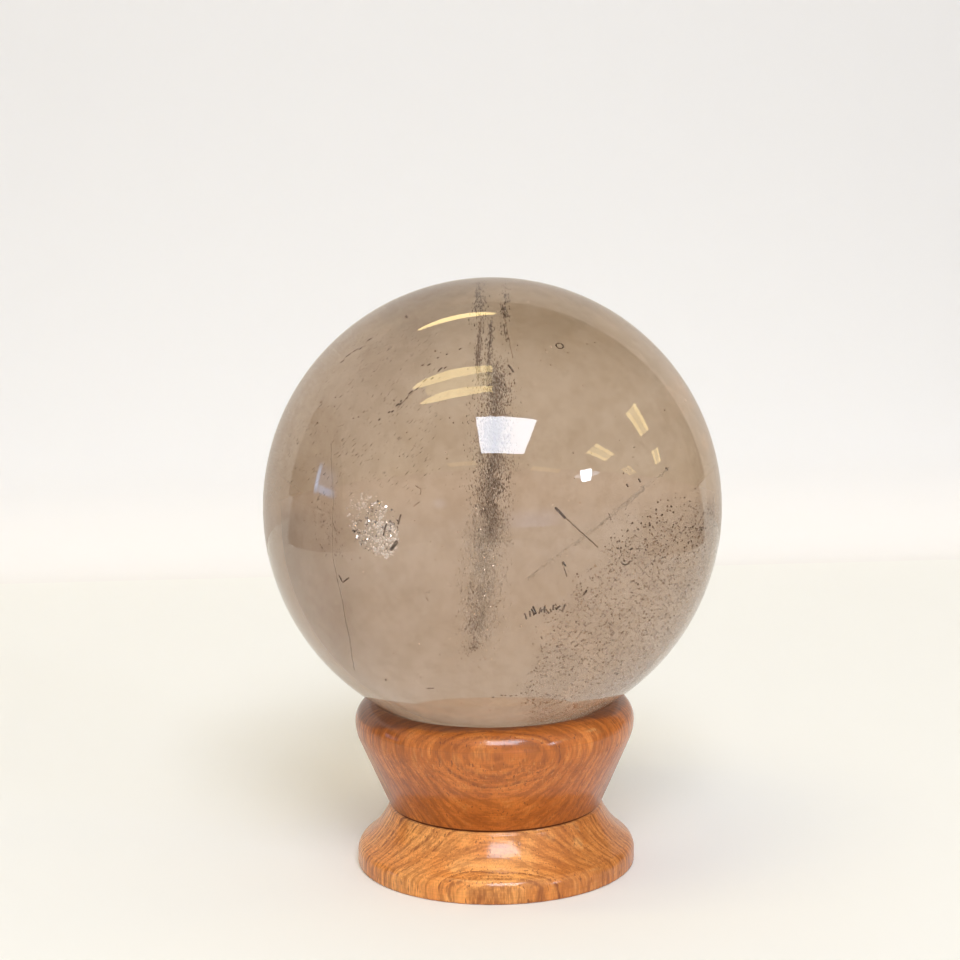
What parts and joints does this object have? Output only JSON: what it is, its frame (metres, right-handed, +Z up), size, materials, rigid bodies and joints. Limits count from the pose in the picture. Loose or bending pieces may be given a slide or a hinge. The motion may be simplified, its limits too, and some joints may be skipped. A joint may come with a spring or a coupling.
{
  "type": "quartz sphere with stand",
  "caption": "Polished smoky quartz sphere resting in the dish of a small turned wooden stand with a rounded rim, a grooved waist and a flared foot.",
  "frame": {"origin": "centre of the foot's flat underside, on the surface that the stand stands on", "axes": "+Z up along the turning axis, through the middle of the stand and of the sphere; -Y is the side that faces a viewer"},
  "size_m": [0.075, 0.075, 0.0973],
  "materials": {
    "smoky_quartz": "polished",
    "varnished_wood": "satin"
  },
  "bodies": {
    "root": {"quartz_sphere": "smoky_quartz", "stand": "varnished_wood"}
  },
  "joints": []
}
